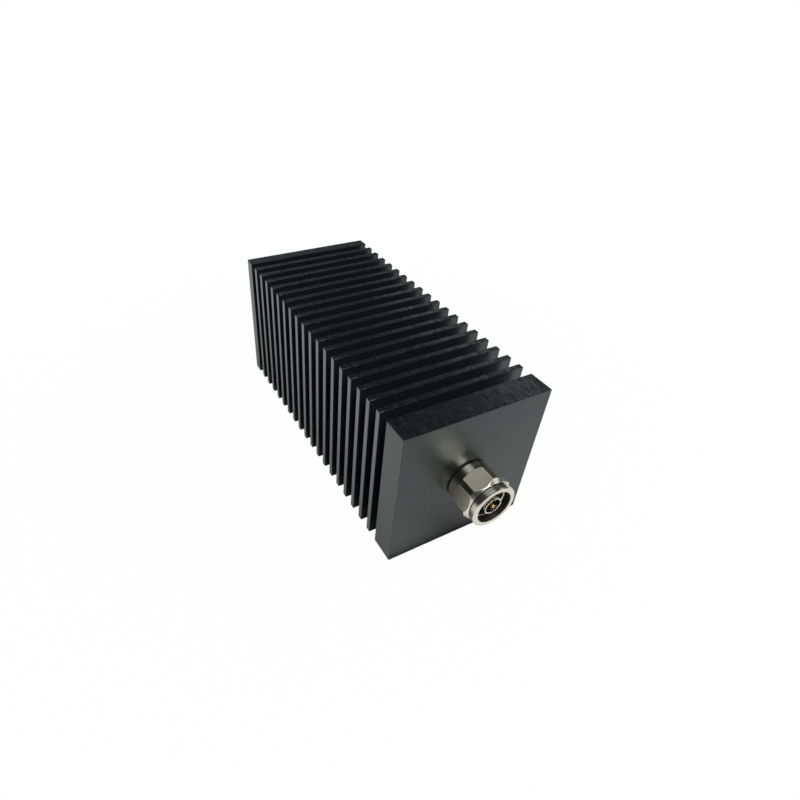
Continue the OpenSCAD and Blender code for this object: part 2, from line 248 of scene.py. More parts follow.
class StageSettings(bpy.types.PropertyGroup):
    """Floor, light and camera. A lamp's level is its own brightness, where 1 is white."""

    floor: colour("Floor", "Colour of the floor", (0.85, 0.85, 0.85))
    floor_seen: number(
        "Floor seen", "Share of plain white in the floor at the object, as the camera sees it", 0.98
    )
    clear_reach: length("Clear reach", "Distance from the object at which the floor is plain white", 350)
    floor_mirrored: number("Floor mirrored", "Share of plain white in the floor as gloss shows it", 0.8)
    side_shade: number("Side shade", "Level of that white right beside the bar's long sides", 0.5)
    side_reach: length("Side reach", "Distance from those sides at which it is full", 40)
    under_shade: number("Under shade", "Share of that shade left under the bar", 0.1)
    under_edge: length("Under edge", "Width of the edge between both shades", 2)
    front_edge: length("Front edge", "Distance in front of the bar at which both shades end", 5)
    plug_shade: number("Plug shade", "Level of that white right under the plug", 0.5)
    plug_reach: length("Plug reach", "Distance from the plug at which it is full", 30)
    studio: colour("Studio", "Cool tint of the dim studio", (0.806, 0.922, 1.0))
    surround: number("Surround", "Level of the dim studio around the object", 0.0535)
    back: number("Back", "Level of the studio's far wall behind the object", 0.32)
    back_start: number("Back start", "Share of +Y in a direction at which that wall starts", 0.735)
    back_full: number("Back full", "Share of +Y in a direction at which that wall has its level", 0.9)
    key_place: place("Key place", "Middle of the high softbox in front", (0.0, -0.32, 0.585))
    key_size: plane("Key size", "Width and height of that softbox", (0.34, 0.38))
    key_level: number("Key level", "Level of that softbox", 7)
    side_place: place("Side place", "Middle of the small softbox at the right", (0.432, -0.38, 0.323))
    side_size: plane("Side size", "Width and height of that softbox", (0.2, 0.22))
    side_level: number("Side level", "Level of that softbox", 1.15)
    panel_place: place("Panel place", "Middle of the wide panel overhead", (-0.06, 0.2, 0.67))
    panel_size: plane("Panel size", "Width and depth of that panel", (0.5, 0.4))
    panel_level: number("Panel level", "Level of that panel", 0.3)
    strip_place: place("Strip place", "Middle of the level strip along the right", (0.47, 0.45, 0.47))
    strip_size: plane("Strip size", "Width and length of that strip", (0.025, 0.6))
    strip_level: number("Strip level", "Level of that strip", 2.6)
    camera_place: place("Camera place", "Where the camera stands", (-0.1208, -0.1843, 0.1995))
    azimuth: angle("Azimuth", "Turn of the view from +Y towards +X", 30.82)
    elevation: angle("Elevation", "Tilt of the view above the floor's plane", -39.57)
    roll: angle("Roll", "Turn of the picture about the view", 3.49)
    lens: number("Lens", "Focal length in millimetres", 24.67)
    shift_x: number("Shift X", "Sideways shift of the lens", 0.0491)
    shift_y: number("Shift Y", "Upward shift of the lens", 0.0123)


class DummyLoadSettings(bpy.types.PropertyGroup):
    """All sizes and colours of the dummy load."""

    bar: PointerProperty(type=BarSizes)
    nut: PointerProperty(type=NutSizes)
    plug: PointerProperty(type=PlugSizes)
    colours: PointerProperty(type=FinishColours)
    stage: PointerProperty(type=StageSettings)


# Mesh helpers


def on_axis(station, radius, turn):
    """Point at a station and a radius, at an angle about the plug's axis."""
    return Vector((radius * math.cos(turn), FRONT_Y + station, AXIS_Z + radius * math.sin(turn)))


def skin(bm, loops, closed=False):
    """Join each loop of points to the next one with quads. All loops have the same number of points."""
    rings = [[bm.verts.new(point) for point in loop] for loop in loops]
    pairs = list(zip(rings, rings[1:]))
    if closed:
        pairs.append((rings[-1], rings[0]))
    for one, two in pairs:
        for i, vert in enumerate(one):
            j = (i + 1) % len(one)
            bm.faces.new((vert, one[j], two[j], two[i]))


def soften(outline, radius):
    """Round each inner corner of an open (station, radius) outline with a small arc."""
    edge_share = 0.45
    soft = [Vector(outline[0])]
    for before, corner, after in zip(outline, outline[1:], outline[2:]):
        corner = Vector(corner)
        back = Vector(before) - corner
        ahead = Vector(after) - corner
        room = edge_share * min(back.length, ahead.length)
        reach = min(radius / math.tan(back.angle(ahead) / 2), room)
        start = corner + reach * back.normalized()
        end = corner + reach * ahead.normalized()
        for i in range(SOFT_STEPS + 1):
            share = i / SOFT_STEPS
            soft.append(start.lerp(corner, share).lerp(corner.lerp(end, share), share))
    soft.append(Vector(outline[-1]))
    return soft


def turned(bm, outline, steps=TURN_STEPS):
    """Turn a (station, radius) outline about the plug's axis."""
    turns = [2 * math.pi * i / steps for i in range(steps)]
    skin(bm, [[on_axis(station, radius, turn) for turn in turns] for station, radius in outline])


def as_mesh(bm, name):
    """Keep the built faces as a mesh, as they are."""
    mesh = bpy.data.meshes.new(name)
    bm.to_mesh(mesh)
    bm.free()
    return mesh


def closed_mesh(bm, name):
    """Weld a shell, point its faces outwards and keep it as a mesh."""
    bmesh.ops.remove_doubles(bm, verts=bm.verts, dist=WELD)
    bmesh.ops.recalc_face_normals(bm, faces=bm.faces)
    return as_mesh(bm, name)


def new_object(name, data):
    """Object for a mesh, a lamp or a camera, linked to the scene."""
    made = bpy.data.objects.new(name, data)
    bpy.context.scene.collection.objects.link(made)
    return made


def apply_modifiers(piece):
    """Turn a piece with its modifiers into a plain mesh."""
    depsgraph = bpy.context.evaluated_depsgraph_get()
    mesh = bpy.data.meshes.new_from_object(piece.evaluated_get(depsgraph))
    mesh.name = piece.name
    piece.modifiers.clear()
    piece.data = mesh


def cut_away(piece, cutter):
    """Cut one mesh out of a piece, and remove it."""
    modifier = piece.modifiers.new("cut", "BOOLEAN")
    modifier.operation = "DIFFERENCE"
    modifier.solver = "EXACT"
    modifier.object = cutter
    apply_modifiers(piece)
    bpy.data.objects.remove(cutter)


def even_shading(piece, sharp=SHARP):
    """Shade a piece smoothly up to an angle, with its large faces kept flat."""
    piece.data.shade_smooth()
    piece.data.set_sharp_from_angle(angle=sharp)
    modifier = piece.modifiers.new("even shading", "WEIGHTED_NORMAL")
    modifier.keep_sharp = True
    apply_modifiers(piece)


def settle(piece, body, slot, *nodes):
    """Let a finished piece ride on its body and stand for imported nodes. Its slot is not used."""
    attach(piece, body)
    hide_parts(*nodes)


# Node helpers


def add(tree, kind, inputs=None, **settings):
    """Add a node with its settings, and set or link its inputs."""
    made = tree.nodes.new(kind)
    for key, value in settings.items():
        setattr(made, key, value)
    for key, value in (inputs or {}).items():
        if isinstance(value, bpy.types.NodeSocket):
            tree.links.new(value, made.inputs[key])
        else:
            made.inputs[key].default_value = value
    return made


def calc(tree, operation, *values):
    """Number worked out from one or two others."""
    return add(tree, "ShaderNodeMath", dict(enumerate(values)), operation=operation).outputs[0]


def ranged(tree, value, low, high, start, end):
    """Number that runs from start to end while a value runs from low to high."""
    made = add(
        tree, "ShaderNodeMapRange",
        {"Value": value, "From Min": low, "From Max": high, "To Min": start, "To Max": end},
    )
    return made.outputs["Result"]


def between(tree, share, one, two):
    """Number that goes from one value to another while a share goes from 0 to 1."""
    return add(tree, "ShaderNodeMix", {"Factor": share, 2: one, 3: two}, data_type="FLOAT").outputs[0]


def axes(tree, vector):
    """X, Y and Z of a vector."""
    return add(tree, "ShaderNodeSeparateXYZ", {"Vector": vector}).outputs


def gap_to(tree, spot, point):
    """Distance of a place from a point."""
    return add(tree, "ShaderNodeVectorMath", {0: spot, 1: point}, operation="DISTANCE").outputs["Value"]


def shape_tree(name, inputs):
    """New Geometry Nodes tree with a geometry in and out and more named inputs, given with their kinds."""
    tree = bpy.data.node_groups.new(name, "GeometryNodeTree")
    tree.interface.new_socket("Geometry", in_out="INPUT", socket_type="NodeSocketGeometry")
    for label, kind in inputs.items():
        tree.interface.new_socket(label, in_out="INPUT", socket_type="NodeSocket" + kind)
    tree.interface.new_socket("Geometry", in_out="OUTPUT", socket_type="NodeSocketGeometry")
    return tree, add(tree, "NodeGroupInput").outputs


def end_tree(tree, geometry, material):
    """Close a tree: realize what it made, give it its material and send it out."""
    real = add(tree, "GeometryNodeRealizeInstances", {"Geometry": geometry})
    welded = add(tree, "GeometryNodeMergeByDistance", {"Geometry": real.outputs[0], "Distance": WELD})
    painted = add(tree, "GeometryNodeSetMaterial", {"Geometry": welded.outputs[0], "Material": material})
    add(tree, "NodeGroupOutput", {"Geometry": painted.outputs[0]})


def run_tree(piece, tree, values):
    """Run a tree on a piece with these values for its named inputs, and keep the result as a plain mesh."""
    modifier = piece.modifiers.new(tree.name, "NODES")
    modifier.node_group = tree
    for item in tree.interface.items_tree:
        if item.in_out == "INPUT" and item.name in values:
            modifier[item.identifier] = values[item.name]
    apply_modifiers(piece)


def row_tree():
    """Tree that repeats a shape along the bar and welds its copies into one."""
    tree, given = shape_tree("Row of fins", {"Count": "Int", "Pitch": "Float", "Material": "Material"})
    step = add(tree, "ShaderNodeCombineXYZ", {"Y": given["Pitch"]})
    line = add(tree, "GeometryNodeMeshLine", {"Count": given["Count"], "Offset": step.outputs[0]})
    copies = add(
        tree, "GeometryNodeInstanceOnPoints", {"Points": line.outputs[0], "Instance": given["Geometry"]}
    )
    end_tree(tree, copies.outputs[0], given["Material"])
    return tree


def thread_tree():
    """Tree that winds a thread's ridge along a helix about the plug's axis, faded out at both ends."""
    tree, given = shape_tree(
        "Inner thread",
        {
            "Root Radius": "Float", "Depth": "Float", "Root Width": "Float", "Crest Width": "Float",
            "Turns": "Float", "Length": "Float", "Start": "Vector", "Material": "Material",
        },
    )
    helix = add(
        tree, "GeometryNodeCurveSpiral",
        {
            "Resolution": THREAD_STEPS, "Rotations": given["Turns"], "Start Radius": given["Root Radius"],
            "End Radius": given["Root Radius"], "Height": given["Length"],
        },
    )
    upright = add(tree, "GeometryNodeSetCurveNormal", {"Curve": helix.outputs[0]}, mode="Z_UP")
    ridge = add(
        tree, "GeometryNodeCurvePrimitiveQuadrilateral",
        {
            "Bottom Width": given["Root Width"], "Top Width": given["Crest Width"],
            "Height": given["Depth"], "Offset": 0.0,
        },
        mode="TRAPEZOID",
    )
    lift = add(tree, "ShaderNodeCombineXYZ", {"X": calc(tree, "MULTIPLY", given["Depth"], 0.5)})
    profile = add(
        tree, "GeometryNodeTransform",
        {
            "Geometry": ridge.outputs[0], "Translation": lift.outputs[0],
            "Rotation": Euler((0, 0, -math.pi / 2)),
        },
    )

    # Share of the helix over which each end fades, and the share of the ridge that is left there
    run_out = 0.06
    thin_end = 0.02
    along = add(tree, "GeometryNodeSplineParameter").outputs["Factor"]
    off_middle = calc(tree, "ABSOLUTE", calc(tree, "SUBTRACT", along, 0.5))
    fade = ranged(tree, off_middle, 0.5, 0.5 - run_out, thin_end, 1.0)
    wound = add(
        tree, "GeometryNodeCurveToMesh",
        {
            "Curve": upright.outputs[0], "Profile Curve": profile.outputs[0],
            "Scale": fade, "Fill Caps": True,
        },
    )
    placed = add(
        tree, "GeometryNodeTransform",
        {
            "Geometry": wound.outputs[0], "Translation": given["Start"],
            "Rotation": Euler((-math.pi / 2, 0, 0)),
        },
    )
    end_tree(tree, placed.outputs[0], given["Material"])
    return tree


# Finishes


def new_finish(name, **sockets):
    """New material. Returns it, its tree, its shader and the object's own coordinates."""
    material = bpy.data.materials.new(name)
    material.use_nodes = True
    tree = material.node_tree
    shader = tree.nodes["Principled BSDF"]
    for label, value in sockets.items():
        shader.inputs[label.replace("_", " ")].default_value = value
    return material, tree, shader, add(tree, "ShaderNodeTexCoord").outputs


def shade_ramp(tree, share, base, low, high=1.0):
    """Colour that runs with a noise between two shades of a base, given as shares of it."""
    ramp = add(tree, "ShaderNodeValToRGB", {"Fac": share})
    for stop, position, shade in zip(ramp.color_ramp.elements, NOISE_SPAN, (low, high)):
        stop.position = position
        stop.color = (*(shade * value for value in base), 1)
    return ramp.outputs["Color"]


def spread(tree, share, low, high):
    """Number that runs with a noise between two values."""
    return ranged(tree, share, *NOISE_SPAN, low, high)


def noise(tree, spot, size, detail=3.0, stretch=(1, 1, 1)):
    """Noise whose features have a size in metres, stretched along an axis where its share is above 1."""
    scale = [1 / (size * share) for share in stretch]
    mapped = add(tree, "ShaderNodeMapping", {"Vector": spot, "Scale": scale})
    made = add(
        tree, "ShaderNodeTexNoise", {"Vector": mapped.outputs[0], "Scale": 1.0, "Detail": detail}
    )
    return made.outputs["Fac"]


def laid_over(tree, plain, coat, share):
    """Colour with another one laid over it where a share is 1."""
    mix = add(tree, "ShaderNodeMix", {"Factor": share, 6: plain, 7: (*coat, 1)}, data_type="RGBA")
    return mix.outputs[2]


def marked(tree, plain, spot, nick_metal_and_pit_shade, marks):
    """Colour with small round marks of a second colour over it, each given as its place and radius: light
    metal in a nick, painted shade in a pit.
    """
    for centre, radius in marks:
        inside = ranged(tree, gap_to(tree, spot, centre), radius, MARK_CORE * radius, 0.0, 1.0)
        plain = laid_over(tree, plain, nick_metal_and_pit_shade, inside)
    return plain


def rough_surface(tree, shader, height, depth):
    """Bump on a shader, from a height between 0 and 1 and its depth in metres."""
    bump = add(tree, "ShaderNodeBump", {"Strength": 1.0, "Distance": depth, "Height": height})
    tree.links.new(bump.outputs["Normal"], shader.inputs["Normal"])


def plain_finish(name, base, metallic, roughness, grain, depth):
    """Finish with soft patches of colour and gloss and a fine grain."""
    material, tree, shader, coords = new_finish(name, Metallic=metallic)
    patches = noise(tree, coords["Object"], size=3 * MM)
    tree.links.new(shade_ramp(tree, patches, base, low=0.82), shader.inputs["Base Color"])
    tree.links.new(spread(tree, patches, *roughness), shader.inputs["Roughness"])
    rough_surface(tree, shader, noise(tree, coords["Object"], size=grain), depth)
    return material


def anodised_finish(name, colours, marks=(), gloss=1.58):
    """Satin black anodise, turned on the bar's ends, drawn along its sides and smoother on the fins."""
    material, tree, shader, coords = new_finish(name, IOR=gloss, Specular_Tint=(0.9, 1.0, 1.0, 1))
    spot = coords["Object"]

    # Where a face is: across the bar, looking up or down, or between the bar's two ends
    facing = axes(tree, coords["Normal"])
    across = calc(tree, "GREATER_THAN", calc(tree, "ABSOLUTE", facing["Y"]), SQUARE)
    level = calc(tree, "GREATER_THAN", calc(tree, "ABSOLUTE", facing["Z"]), SQUARE)
    centred = add(tree, "ShaderNodeMapping", {"Vector": spot, "Location": -BAR_MIDDLE}).outputs[0]
    off_middle = calc(tree, "ABSOLUTE", axes(tree, centred)["Y"])
    inside = calc(tree, "LESS_THAN", off_middle, BAR_LENGTH / 2 - MM)

    # Mottled dye with nicks showing the metal, and the fins' flat faces painted lighter: painted light in
    # the shaded gaps between the fins
    mottle = noise(tree, spot, size=1.1 * MM, detail=5.0, stretch=(1, 1.6, 1))
    dye_and_painted_light = shade_ramp(tree, mottle, colours.anodise, low=0.4, high=1.6)
    dye_and_painted_light = laid_over(tree, dye_and_painted_light, colours.fin_faces_painted_light, calc(tree, "MULTIPLY", across, inside))
    tree.links.new(marked(tree, dye_and_painted_light, spot, colours.speck, marks), shader.inputs["Base Color"])

    # Turned rings or drawn lines, with a fine etch over both
    ring_width = 0.22 * MM
    flat = add(tree, "ShaderNodeVectorMath", {0: centred, 1: (1, 0, 1)}, operation="MULTIPLY").outputs[0]
    reach = add(tree, "ShaderNodeVectorMath", {0: flat}, operation="LENGTH").outputs["Value"]
    rings = add(
        tree, "ShaderNodeTexNoise", {"W": reach, "Scale": 1 / ring_width, "Detail": 2.0},
        noise_dimensions="1D",
    )
    lines = noise(tree, spot, size=0.25 * MM, detail=2.0, stretch=(1, 60, 1))
    tooled = between(tree, across, lines, rings.outputs["Fac"])
    etched = noise(tree, spot, size=0.12 * MM, detail=2.0)
    rough_surface(tree, shader, calc(tree, "ADD", tooled, etched), depth=0.001 * MM)

    # Roughness of the bar's ends, the fins' faces and the sides
    patches = noise(tree, spot, size=6 * MM)
    drawn = noise(tree, spot, size=0.8 * MM, detail=3.0, stretch=(1, 4, 1))
    ends = spread(tree, patches, 0.36, 0.4)
    fins = spread(tree, patches, 0.25, 0.29)
    sides = spread(tree, drawn, 0.16, 0.27)
    roughness = between(tree, across, sides, between(tree, inside, ends, fins))
    tree.links.new(roughness, shader.inputs["Roughness"])

    # Mottled sheen on the sides that look up or down
    plain_sheen = 0.5
    patchy = noise(tree, spot, size=2 * MM, detail=4.0, stretch=(1, 2.5, 1))
    sheen = between(tree, level, plain_sheen, spread(tree, patchy, 0.1, 0.85))
    tree.links.new(sheen, shader.inputs["Specular IOR Level"])
    return material


def nickel_finish(name, base, roughness):
    """Polished nickel with faint turned lines about the axis."""
    material, tree, shader, coords = new_finish(name, Metallic=1.0)
    patches = noise(tree, coords["Object"], size=2.5 * MM)
    tree.links.new(shade_ramp(tree, patches, base, low=0.9), shader.inputs["Base Color"])
    tree.links.new(spread(tree, patches, *roughness), shader.inputs["Roughness"])
    lines = noise(tree, coords["Object"], size=0.12 * MM, detail=2.0, stretch=(80, 1, 80))
    rough_surface(tree, shader, lines, depth=0.0002 * MM)
    return material


def satin_nickel_finish(name, colours, marks):
    """Satin nickel of the milled flats, grained by its plating and clearer at a grazing view."""
    material, tree, shader, coords = new_finish(name, Metallic=1.0, Coat_Weight=1.0, Coat_Roughness=0.12)
    spot = coords["Object"]
    patches = noise(tree, spot, size=0.45 * MM, detail=4.0)
    plated = shade_ramp(tree, patches, colours.flats, low=0.74)
    # Pits are dark spots: real pits, their darkness painted shade
    tree.links.new(marked(tree, plated, spot, colours.pit, marks), shader.inputs["Base Color"])
    tree.links.new(spread(tree, patches, 0.35, 0.45), shader.inputs["Roughness"])
    rough_surface(tree, shader, noise(tree, spot, size=0.25 * MM), depth=0.008 * MM)
    return material


# Finned bar


def square_outline(half, corner):
    """Points (x, z) of the bar's square outline about its axis, with an arc at each corner."""
    inner = half - corner
    meet = math.atan2(inner, half)
    points = []
    for quarter in range(4):
        turn = Matrix.Rotation(quarter * math.pi / 2, 2)
        for i in range(SIDE_STEPS):
            slope = math.tan(meet * (2 * i / SIDE_STEPS - 1))
            points.append(turn @ Vector((half, half * slope)))
        for i in range(CORNER_STEPS):
            bend = math.pi / 2 * i / CORNER_STEPS
            points.append(turn @ Vector((inner + corner * math.cos(bend), inner + corner * math.sin(bend))))
    return points


def square_loop(station, inset, sizes):
    """Loop around the bar's outline at a station, set in from the full width."""
    outline = square_outline(BAR_HALF - inset, sizes.corner - inset)
    return [Vector((x, FRONT_Y + station, AXIS_Z + z)) for x, z in outline]


def round_loop(station, radius, sizes):
    """Loop around a circle at a station, with its points in line with those of the square outline."""
    outline = [point.normalized() for point in square_outline(BAR_HALF, sizes.corner)]
    return [Vector((radius * x, FRONT_Y + station, AXIS_Z + radius * z)) for x, z in outline]


def plate_loops(station, thickness, sizes):
    """Loops around one square plate from its front to its rear, with rounded edges."""
    bends = [math.pi / 2 * i / CORNER_STEPS for i in range(CORNER_STEPS + 1)]
    steps = [(sizes.edge * (1 - math.cos(bend)), sizes.edge * (1 - math.sin(bend))) for bend in bends]
    front = [square_loop(station + depth, inset, sizes) for depth, inset in steps]
    rear = [square_loop(station + thickness - depth, inset, sizes) for depth, inset in reversed(steps)]
    return front + rear


class BuildFinnedBar(bpy.types.Operator):
    """Build the square bar with its plates, fins and bores as one closed piece."""

    bl_idname = "dummy_load.finned_bar"
    bl_label = "Finned bar"

    def execute(self, context):
        settings = context.scene.dummy_load
        sizes = settings.bar
        core = CAP_RADIUS - sizes.cap_rim
        bore = core - sizes.core_wall
        finned_length = BAR_LENGTH - sizes.front_plate - sizes.rear_plate
        gap = (finned_length - sizes.fin_count * sizes.fin) / (sizes.fin_count + 1)
        pitch = gap + sizes.fin
        first = sizes.front_plate + gap
        nicked_fin = 9
        speck = ((-0.02904, FRONT_Y, 0.01363), 0.22 * MM)
        nick = ((-0.0279, FRONT_Y + first + nicked_fin * pitch, 0.0698), 0.2 * MM)
        material = anodised_finish("black anodise", settings.colours, [speck, nick])
        fin_edges = anodised_finish("fin edge anodise", settings.colours, gloss=2.05)

        # One groove with the fin behind it, repeated along the bar
        bm = bmesh.new()
        groove = [round_loop(sizes.front_plate, core, sizes), round_loop(first, core, sizes)]
        rear_root = [round_loop(first + sizes.fin, core, sizes)]
        skin(bm, groove + plate_loops(first, sizes.fin, sizes) + rear_root)
        bar = new_object("finned_bar", as_mesh(bm, "fin"))
        run_tree(bar, row_tree(), {"Count": sizes.fin_count, "Pitch": pitch, "Material": material})

        # The plates and bores close both ends
        seat_depth = body_high.y - FRONT_Y + sizes.seat_runout
        bore_start = carrier_low.y - FRONT_Y - sizes.carrier_gap
        cap_front = BAR_LENGTH - sizes.cap
        recess = CAP_RADIUS + sizes.recess_gap
        rear_plate = BAR_LENGTH - sizes.rear_plate
        bm = bmesh.new()
        bm.from_mesh(bar.data)
        seat = [round_loop(seat_depth, sizes.seat_radius, sizes), round_loop(0, sizes.seat_radius, sizes)]
        front_root = [round_loop(sizes.front_plate, core, sizes)]
        skin(bm, seat + plate_loops(0, sizes.front_plate, sizes) + front_root)
        last = [round_loop(rear_plate - gap, core, sizes), round_loop(rear_plate, core, sizes)]
        bores = [
            (BAR_LENGTH, recess), (cap_front, recess), (cap_front, bore), (bore_start, bore),
            (bore_start, sizes.line_radius), (seat_depth, sizes.line_radius),
            (seat_depth, sizes.seat_radius),
        ]
        inside = [round_loop(station, radius, sizes) for station, radius in bores]
        skin(bm, last + plate_loops(rear_plate, sizes.rear_plate, sizes) + inside)
        bar.data = closed_mesh(bm, bar.name)
        bar.data.materials.append(material)
        bar.data.materials.append(fin_edges)

        # Blind holes for the cap screws, one towards each corner
        bm = bmesh.new()
        hole_middle = BAR_LENGTH - sizes.screw_depth / 2
        lengthwise = Matrix.Rotation(math.pi / 2, 4, "X")
        for corner in range(4):
            spot = on_axis(hole_middle, bore + sizes.core_wall / 2, math.radians(45 + 90 * corner))
            bmesh.ops.create_cone(
                bm, cap_ends=True, segments=DRILL_STEPS, radius1=sizes.screw_hole, radius2=sizes.screw_hole,
                depth=sizes.screw_depth, matrix=Matrix.Translation(spot) @ lengthwise,
            )
        cut_away(bar, new_object("drill", closed_mesh(bm, "drill")))
        even_shading(bar)

        # The fins' side edges are glossier than the plates
        fins_start = FRONT_Y + sizes.front_plate + gap / 2
        fins_end = FRONT_Y + rear_plate - gap / 2
        edge_error = 0.05 * MM
        for face in bar.data.polygons:
            outer = BAR_HALF - abs(face.center.x) < edge_error and abs(face.normal.x) > 0.9
            face.material_index = int(outer and fins_start < face.center.y < fins_end)
        settle(bar, "load", "black_anodise", "heat_sink")
        return {"FINISHED"}


# Coupling nut


def hex_turns(sizes, half):
    """Angles around one ring of the nut, where each flat spans half an angle to both sides of its middle.

    Returns (angle, angle from the middle of the flat, or None on a turned corner).
    """
    sixth = math.radians(60)
    edge = min(sizes.soft_edge / sizes.corner_radius, half)
    turns = []
    for flat in range(6):
        middle = sizes.turn + (flat + 0.5) * sixth
        for i in range(FLAT_STEPS + 1):
            away = (half - edge) * (2 * i / FLAT_STEPS - 1)
            turns.append((middle + away, away))
        for i in range(NUT_CORNER_STEPS + 1):
            away = half + edge + (sixth - 2 * (half + edge)) * i / NUT_CORNER_STEPS
            turns.append((middle + away, None))
    return turns


def nut_ring(sizes, station, radius, half, milled):
    """Loop around the nut at a station. A milled ring has its flats cut."""
    loop = []
    for turn, away in hex_turns(sizes, half):
        flat = radius if away is None or not milled else sizes.flats / 2 / math.cos(away)
        loop.append(on_axis(station, min(radius, flat), turn))
    return loop


def nut_mesh(sizes):
    """Mesh of the coupling nut: turned all over, with six milled flats."""
    rear = nut_high.y - FRONT_Y
    front = nut_low.y - FRONT_Y
    hex_rear = rear - sizes.collar_length
    hex_front = hex_rear - sizes.hex_length
    relief_front = hex_front - sizes.relief_length
    thread_rear = front + sizes.thread_length
    lead = front + sizes.lead_reach
    lead_radius = sizes.thread_radius - sizes.thread_depth
    crest_start = lead + 0.4 * sizes.lead_width
    crest_end = lead + 0.8 * sizes.lead_width
    groove_front = -sizes.groove_reach - sizes.groove_width / 2
    groove_rear = -sizes.groove_reach + sizes.groove_width / 2
    fall = (sizes.corner_radius - sizes.relief_radius) / sizes.front_chamfer
    flats_end = hex_front + (sizes.flats / 2 - sizes.relief_radius) / fall
    rear_face = 0.25 * MM

    # Turned surface from the end of the flats round the mouth and through the bore
    mouth = soften(
        [
            (flats_end, sizes.flats / 2), (hex_front, sizes.relief_radius),
            (relief_front, sizes.relief_radius), (relief_front, sizes.front_radius),
            (front + sizes.lip_bevel, sizes.front_radius), (front, sizes.front_radius - sizes.lip_bevel),
            (front, sizes.thread_radius + sizes.mouth_bevel),
            (front + sizes.mouth_bevel, sizes.thread_radius), (lead, sizes.thread_radius),
            (crest_start, lead_radius), (crest_end, lead_radius),
            (lead + sizes.lead_width, sizes.thread_radius),
            (thread_rear, sizes.thread_radius), (thread_rear, sizes.bore_radius),
            (groove_front, sizes.bore_radius), (groove_front, sizes.groove_radius),
            (groove_rear, sizes.groove_radius), (groove_rear, sizes.bore_radius),
            (rear, sizes.bore_radius), (rear, sizes.bore_radius + rear_face),
        ],
        sizes.soft_edge,
    )
    collar_face = sizes.collar_radius - sizes.collar_bevel
    collar = soften(
        [
            (rear, collar_face - rear_face), (rear, collar_face),
            (rear - sizes.collar_bevel, sizes.collar_radius), (hex_rear, sizes.collar_radius),
        ],
        sizes.soft_edge,
    )

    # Milled rings, on which the chamfers narrow the flats to nothing at both ends
    full = math.acos(sizes.flats / 2 / sizes.corner_radius)
    rise = (sizes.corner_radius - sizes.collar_radius) / sizes.rear_chamfer
    halves = [full * i / CHAMFER_STEPS for i in range(CHAMFER_STEPS + 1)]
    milled = []
    for half in halves:
        radius = sizes.flats / 2 / math.cos(half)
        milled.append((hex_rear - (radius - sizes.collar_radius) / rise, radius, half))
    for half in reversed(halves):
        radius = sizes.flats / 2 / math.cos(half)
        milled.append((hex_front + (radius - sizes.relief_radius) / fall, radius, half))

    bm = bmesh.new()
    loops = [nut_ring(sizes, station, radius, 0.0, False) for station, radius in mouth]
    loops += [nut_ring(sizes, station, radius, 0.0, False) for station, radius in collar]
    loops += [nut_ring(sizes, station, radius, half, True) for station, radius, half in milled]
    skin(bm, loops, closed=True)
    return closed_mesh(bm, "coupling_nut_body")


def mark_faces(mesh, sizes):
    """Give the nut's faces their finishes by where they are. The others stay polished."""
    hex_front = nut_high.y - sizes.collar_length - sizes.hex_length
    chamfer_rear = hex_front + 2 * sizes.front_chamfer
    relief_front = hex_front - sizes.relief_length
    lip = nut_low.y + sizes.lip_bevel
    lead_front = nut_low.y + sizes.lead_reach
    lead_rear = lead_front + sizes.lead_width
    flat_error = 0.002 * MM
    bore_error = 0.01 * MM
    relief_error = 0.02 * MM
    crest_error = 0.03 * MM
    for face in mesh.polygons:
        along = face.center.y
        out = face.center - Vector((0, along, AXIS_Z))
        facing = face.normal.dot(out)

        # Milled flats, and the ring that leads into the thread
        if abs(face.normal.y) < 0.01 and abs(facing - sizes.flats / 2) < flat_error:
            face.material_index = SATIN
        elif out.length < sizes.thread_radius - crest_error and lead_front < along < lead_rear:
            face.material_index = SATIN

        # The inside, and the relief behind the front round, painted dark as painted shade
        elif facing < 0 or out.length < sizes.thread_radius + bore_error:
            face.material_index = DULL_PAINTED_SHADE
        elif relief_front - relief_error < along < hex_front:
            face.material_index = DULL_PAINTED_SHADE

        # The front round, and the chamfer of the hexagon behind it
        elif lip < along < relief_front:
            face.material_index = TURNED
        elif hex_front < along < chamfer_rear and face.normal.y < -0.2:
            face.material_index = TURNED


